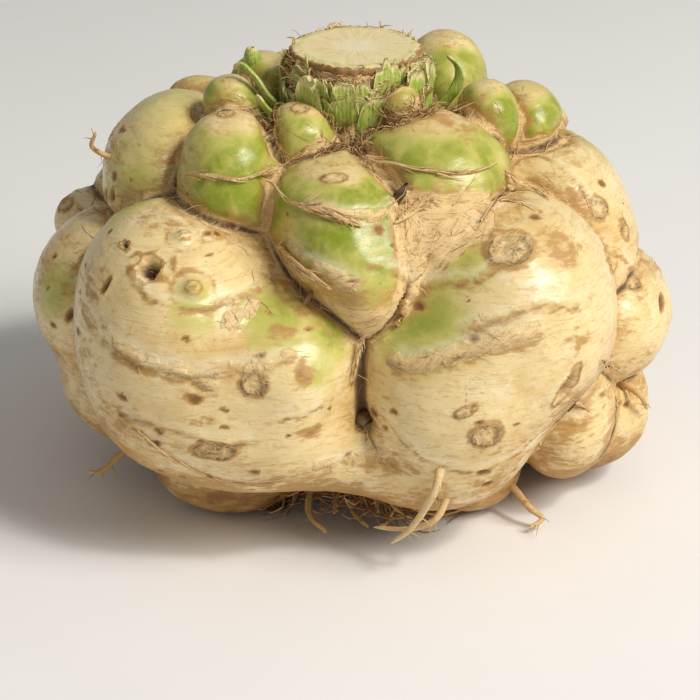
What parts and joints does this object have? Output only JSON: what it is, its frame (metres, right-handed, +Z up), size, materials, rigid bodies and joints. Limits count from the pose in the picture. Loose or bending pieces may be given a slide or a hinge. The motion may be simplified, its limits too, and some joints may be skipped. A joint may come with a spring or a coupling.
{
  "type": "celeriac root",
  "caption": "Lobed, knobbly celeriac root with a cut crown, green shoulders, leaf-stalk stubs and a few rootlets, standing on its flat-trimmed base.",
  "frame": {"origin": "on the ground plane under the middle of the whole root's outline", "axes": "+Z up through the cut crown, -Y towards the fullest pair of lobes, +X to the right of them along the widest direction"},
  "size_m": [0.1408, 0.12, 0.0982],
  "materials": {
    "skin": "satin",
    "stalk_green": "satin",
    "rootlet_tan": "matte",
    "dry_strand": "matte"
  },
  "bodies": {
    "root": {"corm": "skin", "stalk_left_front": "stalk_green", "stalk_left": "stalk_green", "stalk_front": "stalk_green", "stalk_right_front": "stalk_green", "stalk_right": "stalk_green", "stalk_right_rear": "stalk_green", "stalk_back": "stalk_green", "stalk_left_rear": "stalk_green", "shoot_curled": "stalk_green", "shoot_short": "stalk_green", "shoot_looped": "stalk_green", "bud_left": "stalk_green", "rootlet_front_long": "rootlet_tan", "rootlet_front_short": "rootlet_tan", "rootlet_hollow_left": "rootlet_tan", "rootlet_hollow_middle": "rootlet_tan", "rootlet_hollow_right": "rootlet_tan", "rootlet_hook": "rootlet_tan", "rootlet_right_crease": "rootlet_tan", "rootlet_left_spur": "rootlet_tan", "rootlet_left_edge": "rootlet_tan", "rootlet_back_left": "rootlet_tan", "rootlet_back_right": "rootlet_tan", "rootlet_base_rear": "rootlet_tan", "strand_upper": "dry_strand", "strand_lower": "dry_strand"}
  },
  "joints": []
}
